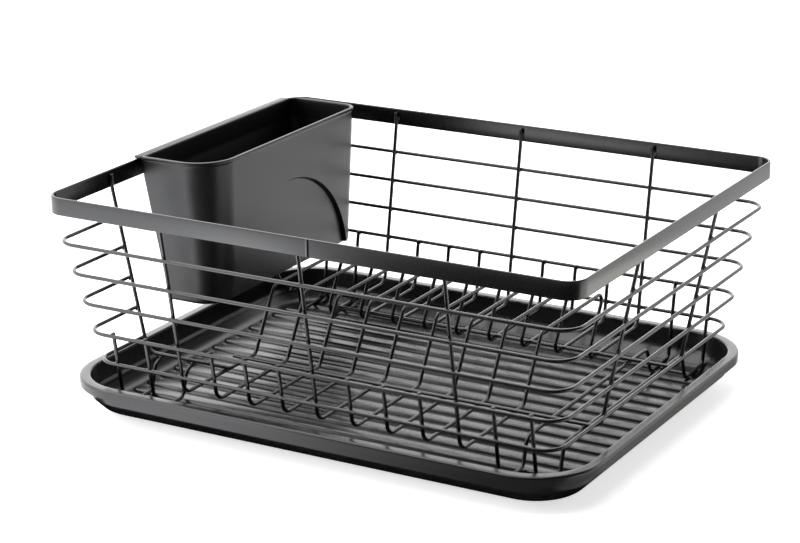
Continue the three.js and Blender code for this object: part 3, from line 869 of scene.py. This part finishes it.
def cup_wall():
    """Points are corner centre + (corner radius - inset) * outward, tapered, then pressed."""
    outline = cup_outline()
    profile = cup_profile()[None]
    inset, z = profile[..., 0], profile[..., 1]
    radius = np.maximum(outline[..., 4] - inset, 0.0002)
    pull = outline[..., 4] - radius - inset  # where a small corner runs out of radius
    x = outline[..., 0] + outline[..., 2] * radius + pull * np.sign(outline[..., 2])
    y = outline[..., 1] + outline[..., 3] * radius + pull * np.sign(outline[..., 3])
    z = z + 0 * x
    x, y = tapered(x, y, z)
    inside = inset > LIP_PROUD + CUP_WALL / 2
    face = CUP_RIGHT - np.where(inside, LIP_PROUD + CUP_WALL, LIP_PROUD)
    x, y, z = pressed(x, y, z, face, PANEL_RADIUS + np.where(inside, CUP_WALL, 0.0))
    return sheet_of(np.stack([x, y, z], -1), True, True)


cup_sheets = [cup_wall()]
print("cup wall:", len(cup_sheets[0][1]), "faces")

# %% [markdown]
# ## The cup's floor with drain slots
#
# Water runs out of the cup through six slots. A plate with holes is a lattice of cells, some of
# which are left out. Its top and bottom are the cells that stay, and a side face stands wherever
# a cell that stays borders one that doesn't.

# %% Slotted floor
SLOT_COUNT = 6
SLOT_HALF_WIDTH = 0.0015
SLOT_LEFT = 0.0315  # from the right face of the cup
SLOT_RIGHT = 0.0080
PLATE_INSET = 0.004


def thick_plate(points, keep, top, bottom):
    """A closed plate from a lattice of (x, y) points: top and bottom faces of the cells to keep,
    and a side face on each lattice edge with a kept cell on one side only."""
    rows, columns = points.shape[:2]
    flat = points.reshape(-1, 2)
    count = len(flat)
    solid = np.concatenate([np.insert(flat, 2, top, axis=1), np.insert(flat, 2, bottom, axis=1)])
    cells = grid_faces(rows, columns)[keep.reshape(-1)]
    number = np.arange(count).reshape(rows, columns)
    framed = np.pad(keep, 1).astype(int)
    across = framed[1:, 1:-1] - framed[:-1, 1:-1]
    along = framed[1:-1, 1:] - framed[1:-1, :-1]
    row_edges = np.stack([number[:, :-1], number[:, 1:]], -1)[across != 0]
    column_edges = np.stack([number[:-1], number[1:]], -1)[along != 0]
    edges = np.concatenate([row_edges, column_edges])
    sides = np.concatenate([edges, edges[:, ::-1] + count], axis=1)
    return solid, np.concatenate([cells, cells[:, ::-1] + count, sides])


def cup_floor():
    """Rows from front to back at the slot edges and round the two right-hand corners."""
    front, back = CUP_FRONT + PLATE_INSET, CUP_BACK - CUP_DRAFT - PLATE_INSET
    depth = CUP_BACK - CUP_FRONT
    middles = CUP_FRONT + depth * np.arange(1, SLOT_COUNT + 1) / (SLOT_COUNT + 1)
    edges = np.sort(np.concatenate([middles - SLOT_HALF_WIDTH, middles + SLOT_HALF_WIDTH]))
    turn = 1 - np.cos(np.radians(np.linspace(0, 90, 9)))
    near, far = CUP_RADII[1] - PLATE_INSET, CUP_RADII[2] - PLATE_INSET
    y = np.unique(np.concatenate([front + near * turn, edges, back - far * turn]))
    bite = near - np.sqrt(near**2 - np.clip(front + near - y, 0, near) ** 2)
    bite += far - np.sqrt(far**2 - np.clip(y - back + far, 0, far) ** 2)
    left = CUP_LEFT + SIDE_LEAN * (KNEE - CUP_BOTTOM) + PLATE_INSET
    right = CUP_RIGHT - PLATE_INSET - bite
    slot_left, slot_right = CUP_RIGHT - SLOT_LEFT, CUP_RIGHT - SLOT_RIGHT
    columns = np.stack([0 * y + left, np.minimum(slot_left, right), np.minimum(slot_right, right), right], -1)
    lattice = np.stack([columns, y[:, None] + 0 * columns], -1)
    centre = (y[1:] + y[:-1]) / 2
    keep = np.ones((len(y) - 1, 3), bool)
    keep[:, 1] = np.abs(centre[:, None] - middles).min(1) > SLOT_HALF_WIDTH
    return thick_plate(lattice, keep, CUP_BOTTOM + CUP_FLOOR, CUP_BOTTOM + 0.0001)


cup_sheets.append(cup_floor())
print("cup floor:", len(cup_sheets[1][1]), "faces")

# %% [markdown]
# ## The hook
#
# Along its left side the cup's lip widens into a hook that passes over the strip and drops
# behind it, so the cup hangs without a fastener. It is a wide flat section carried along a very
# short bent line: out over the strip, round one bend and down.

# %% Hook over the strip
HOOK_PLATE = 0.0022  # thickness over the strip
HOOK_WALL = 0.0010  # thickness of the drop behind it
HOOK_DROP = 0.009
HOOK_TRIM = 0.007  # the hook stops short of the cup's back corner
DROP_TRIM = 0.008  # and its drop starts this far behind the front corner
HOOK_EDGE = 0.0009
HOOK_ROOT = 0.0015  # the plate starts inside the cup's wall
HOOK_BEND = 0.0016
HOOK_END = 0.0005  # length of the rounding at the two ends of the section's path


def cup_hook():
    """Points are centre + side * a + Y * b for a rounded rectangle of points (a, b). The section
    closes to a line at both ends."""
    outer = rim_low.x - GAP - HOOK_WALL / 2
    over = CUP_TOP - HOOK_PLATE / 2
    corners = [(CUP_LEFT + HOOK_ROOT, over), (outer, over), (outer, CUP_TOP - HOOK_DROP)]
    path = bent_line(corners, [HOOK_BEND], 9)
    steps = np.diff(path, axis=0)
    along = unit(np.concatenate([steps[:1], steps]) + np.concatenate([steps, steps[-1:]]))
    side = np.stack([-along[:, 1], along[:, 0]], -1)
    half, width = HOOK_PLATE / 2, (CUP_BACK - HOOK_TRIM - CUP_FRONT) / 2
    loop = [(half, 0), (half, width), (-half, width), (-half, -width), (half, -width), (half, 0)]
    section = bent_line(loop, [HOOK_EDGE] * 4, 6)[:-1]
    thin = np.ones(len(path) + 4)
    thin[:2] = thin[-2:][::-1] = (0.0, 0.75)
    stretch = [0, 0, *range(len(path)), -1, -1]
    path, side, along = path[stretch], side[stretch], along[stretch]
    path = path + along * HOOK_END * np.array([-1.0, -0.8, *[0.0] * (len(thin) - 4), 0.8, 1.0])[:, None]
    fallen = np.clip((over - path[:, 1:]) / HOOK_PLATE, 0.0, 1.0)
    off = section[None, :, 0] * thin[:, None] * (1 - fallen * (1 - HOOK_WALL / HOOK_PLATE))
    x = path[:, :1] + side[:, :1] * off
    z = path[:, 1:] + side[:, 1:] * off
    y = CUP_FRONT + width + section[None, :, 1] + fallen * DROP_TRIM * (section[None, :, 1] < 0)
    return sheet_of(np.stack([x, y, z], -1), wrap_columns=True)


cup_sheets.append(cup_hook())
cup = make_piece("cutlery_cup_shell", cup_sheets, CUP_PLASTIC, "cup", ["cutlery_cup"])
print("cup:", len(cup.data.polygons), "faces")

# %% [markdown]
# ## The floor
#
# The rack stands on a wide plain pale floor with a little glow of its own, as a translucent table
# has when it is lit from below. That keeps the shadows pale.

# %% Floor
FLOOR_SIZE = 12.0
FLOOR_COLOUR = (0.86, 0.86, 0.86, 1.0)
FLOOR_GLOW = 0.68


def flat_square(name, low, high, z, colour, glow=0.0):
    """A flat rectangle on the floor with a plain rough material, which may glow."""
    mesh = bpy.data.meshes.new(name)
    corners = [(low[0], low[1], z), (high[0], low[1], z), (high[0], high[1], z), (low[0], high[1], z)]
    mesh.from_pydata(corners, [], [(0, 1, 2, 3)])
    material = bpy.data.materials.new(name)
    material.use_nodes = True
    shader = material.node_tree.nodes["Principled BSDF"]
    shader.inputs["Base Color"].default_value = colour
    shader.inputs["Roughness"].default_value = 0.9
    shader.inputs["Specular IOR Level"].default_value = 0.0
    shader.inputs["Emission Color"].default_value = (1.0, 1.0, 1.0, 1.0)
    shader.inputs["Emission Strength"].default_value = glow
    mesh.materials.append(material)
    square = bpy.data.objects.new(name, mesh)
    bpy.context.scene.collection.objects.link(square)
    return square


half_floor = FLOOR_SIZE / 2
flat_square("floor", (-half_floor, -half_floor), (half_floor, half_floor), 0.0, FLOOR_COLOUR, FLOOR_GLOW)
print("floor:", FLOOR_SIZE, "m square")

# %% [markdown]
# ## Cards that only reflections see
#
# Black paint shows almost only what it mirrors, so what stands round it matters more than its
# colour. A studio lays cards beside a black product to place the bright and dark parts of its
# sides. Here a wide card in front glows at the left and fades to black at the right, which turns
# the near corner black. One at the right grows brighter away from the tray; its dim part next to
# the tray is painted shade for the tray's shadow on the floor. Two more are dimmer, close to the
# tray's front and far behind at the right; the close one is dimmed as painted shade for the tray's
# shadow there. A black one lies under the tray as painted shade: it stands in for the dark shadow
# under the tray, since a glowing card is never darkened by shadow.

# %% Cards
CARD_HEIGHT = 0.001
CONTACT_Y = -0.27
FAR_Y = 0.36
BLACK = (0.0, 0.0, 0.0, 1.0)
COOL = (0.96, 0.97, 1.0)
WARM = (1.0, 1.0, 0.95)


def fading_glow(card, start, reach, tint, stops):
    """The glow of a card as a ramp over distance = (position - start) . reach / |reach|^2."""
    tree = card.data.materials[0].node_tree
    place = add_node(tree, "ShaderNodeTexCoord")
    moved = add_node(tree, "ShaderNodeVectorMath", operation="SUBTRACT")
    moved.inputs[1].default_value = (*start, 0.0)
    tree.links.new(place.outputs["Object"], moved.inputs[0])
    distance = add_node(tree, "ShaderNodeVectorMath", operation="DOT_PRODUCT")
    length = reach[0] ** 2 + reach[1] ** 2
    distance.inputs[1].default_value = (reach[0] / length, reach[1] / length, 0.0)
    tree.links.new(moved.outputs[0], distance.inputs[0])
    ramp = add_node(tree, "ShaderNodeValToRGB")
    ramp.color_ramp.interpolation = "EASE"
    while len(ramp.color_ramp.elements) < len(stops):
        ramp.color_ramp.elements.new(0.5)
    for element, (position, value) in zip(ramp.color_ramp.elements, stops):
        element.position = position
        element.color = (*(value * part for part in tint), 1.0)
    tree.links.new(distance.outputs["Value"], ramp.inputs["Fac"])
    tree.links.new(ramp.outputs["Color"], tree.nodes["Principled BSDF"].inputs["Emission Color"])


CARDS = {
    "front_card": dict(low=(-1.2, -1.8), high=(1.8, CONTACT_Y), glow=6.8),
    # Painted shade: the contact card glows less than the front card, for the tray's shadow on the floor in
    # front of it.
    "contact_card": dict(low=(-1.2, CONTACT_Y), high=(1.8, tray_low.y), glow=3.0),
    "side_card": dict(low=(tray_high.x, tray_low.y), high=(0.85, FAR_Y), glow=2.8),
    "far_card": dict(low=(tray_high.x, FAR_Y), high=(0.85, 1.5), glow=1.4),
    # Painted shade: a black card under the tray stands in for the dark shadow there.
    "under_shade_card": dict(low=tray_low.xy, high=tray_high.xy, glow=0.0),
}
FRONT_STOPS = ((0.0, 0.01), (0.45, 1.0), (0.95, 0.55))
FADES = {
    "front_card": dict(start=(-0.01, -0.24), reach=(-0.174, 0.099), tint=COOL, stops=FRONT_STOPS),
    "contact_card": dict(start=(0.15, 0.0), reach=(-0.3, 0.0), tint=COOL, stops=((0.0, 0.06), (1.0, 1.0))),
    # Painted shade: the side card is dim next to the tray, for the tray's shadow on the floor beside it.
    "side_card": dict(start=(0.235, 0.0), reach=(0.25, 0.0), tint=WARM, stops=((0.0, 0.22), (0.6, 1.0))),
}
for name, values in CARDS.items():
    card = flat_square(name, z=CARD_HEIGHT, colour=BLACK, **values)
    card.visible_camera = False
    card.visible_diffuse = False
    card.visible_shadow = False
    if name in FADES:
        fading_glow(card, **FADES[name])
print("cards:", list(CARDS))

# %% [markdown]
# ## The room
#
# The tops of the wires and the edges of the strip mirror the room behind the rack. It is bright
# at the back left and dark at the front right. A smooth change with direction does that, and the
# camera itself sees plain white.

# %% World
BRIGHT_WAY = (-0.8, 0.6, 0.0)
ROOM_FADE = {"From Min": -0.1, "From Max": 0.9, "To Min": 0.02, "To Max": 3.7}


def build_room():
    """The world is white to the camera. For light and reflections it fades with direction from
    bright at the back left to dark at the front right."""
    world = bpy.data.worlds.new("room")
    world.use_nodes = True
    bpy.context.scene.world = world
    tree = world.node_tree
    tree.nodes.clear()
    direction = add_node(tree, "ShaderNodeTexCoord")
    toward = add_node(tree, "ShaderNodeVectorMath", operation="DOT_PRODUCT")
    toward.inputs[1].default_value = BRIGHT_WAY
    tree.links.new(direction.outputs["Generated"], toward.inputs[0])
    fade = add_node(tree, "ShaderNodeMapRange")
    for name, value in ROOM_FADE.items():
        fade.inputs[name].default_value = value
    tree.links.new(toward.outputs["Value"], fade.inputs["Value"])
    soft = add_node(tree, "ShaderNodeBackground")
    tree.links.new(fade.outputs["Result"], soft.inputs["Strength"])
    plain = add_node(tree, "ShaderNodeBackground")
    plain.inputs["Color"].default_value = (1.0, 1.0, 1.0, 1.0)
    path = add_node(tree, "ShaderNodeLightPath")
    choose = add_node(tree, "ShaderNodeMixShader")
    tree.links.new(path.outputs["Is Camera Ray"], choose.inputs["Fac"])
    tree.links.new(soft.outputs[0], choose.inputs[1])
    tree.links.new(plain.outputs[0], choose.inputs[2])
    output = add_node(tree, "ShaderNodeOutputWorld")
    tree.links.new(choose.outputs[0], output.inputs["Surface"])


build_room()
bpy.context.scene.view_settings.view_transform = "Standard"
print("world:", bpy.context.scene.world.name)

# %% [markdown]
# ## Soft lights
#
# Each light is a large square that faces the rack, as a softbox does: a low one at the front
# left, a wide one overhead and a weak one at the back right. Their size keeps the shadow soft.

# %% Lights
LIGHTS = {
    "front_left_box": dict(place=(-1.25, -1.15, 0.75), size=0.9, power=12.0),
    "overhead_box": dict(place=(-0.6, -0.2, 2.0), size=2.4, power=50.0),
    "back_right_box": dict(place=(1.5, 1.5, 0.9), size=1.2, power=8.0),
}


def add_light(name, place, size, power):
    """A square area light that looks at the middle of the rack."""
    lamp = bpy.data.lights.new(name, "AREA")
    lamp.size = size
    lamp.energy = power
    holder = bpy.data.objects.new(name, lamp)
    holder.location = place
    holder.rotation_euler = (-Vector(place)).to_track_quat("-Z", "Y").to_euler()
    holder.visible_camera = False
    bpy.context.scene.collection.objects.link(holder)


for name, values in LIGHTS.items():
    add_light(name, **values)
print("lights:", list(LIGHTS))

# %% [markdown]
# ## The camera
#
# A long lens from well back keeps the edges nearly parallel, as catalogues prefer. The camera
# stands on a line from a point near the rack's middle, turned to the right and raised.

# %% Camera
TURN = math.radians(29.98)
RAISE = math.radians(18.07)
ROLL = math.radians(-0.576)
DISTANCE = 1.6574
LENS = 108.13
AIM = (0.0368, -0.0907, 0.1275)  # from the floor under the rim's middle
SENSOR = 36.0
aim = Vector((rim_middle_x, 0.0, 0.0)) + Vector(AIM)
away = Vector((math.sin(TURN) * math.cos(RAISE), -math.cos(TURN) * math.cos(RAISE), math.sin(RAISE)))
lens = bpy.data.cameras.new("camera")
lens.lens = LENS
lens.sensor_width = SENSOR
camera = bpy.data.objects.new("camera", lens)
turned = Matrix.Rotation(TURN, 4, "Z") @ Matrix.Rotation(math.pi / 2 - RAISE, 4, "X")
rolled = turned @ Matrix.Rotation(ROLL, 4, "Z")
camera.matrix_world = Matrix.Translation(aim + away * DISTANCE) @ rolled
bpy.context.scene.collection.objects.link(camera)
bpy.context.scene.camera = camera
print("camera:", [round(value, 4) for value in camera.matrix_world.translation])
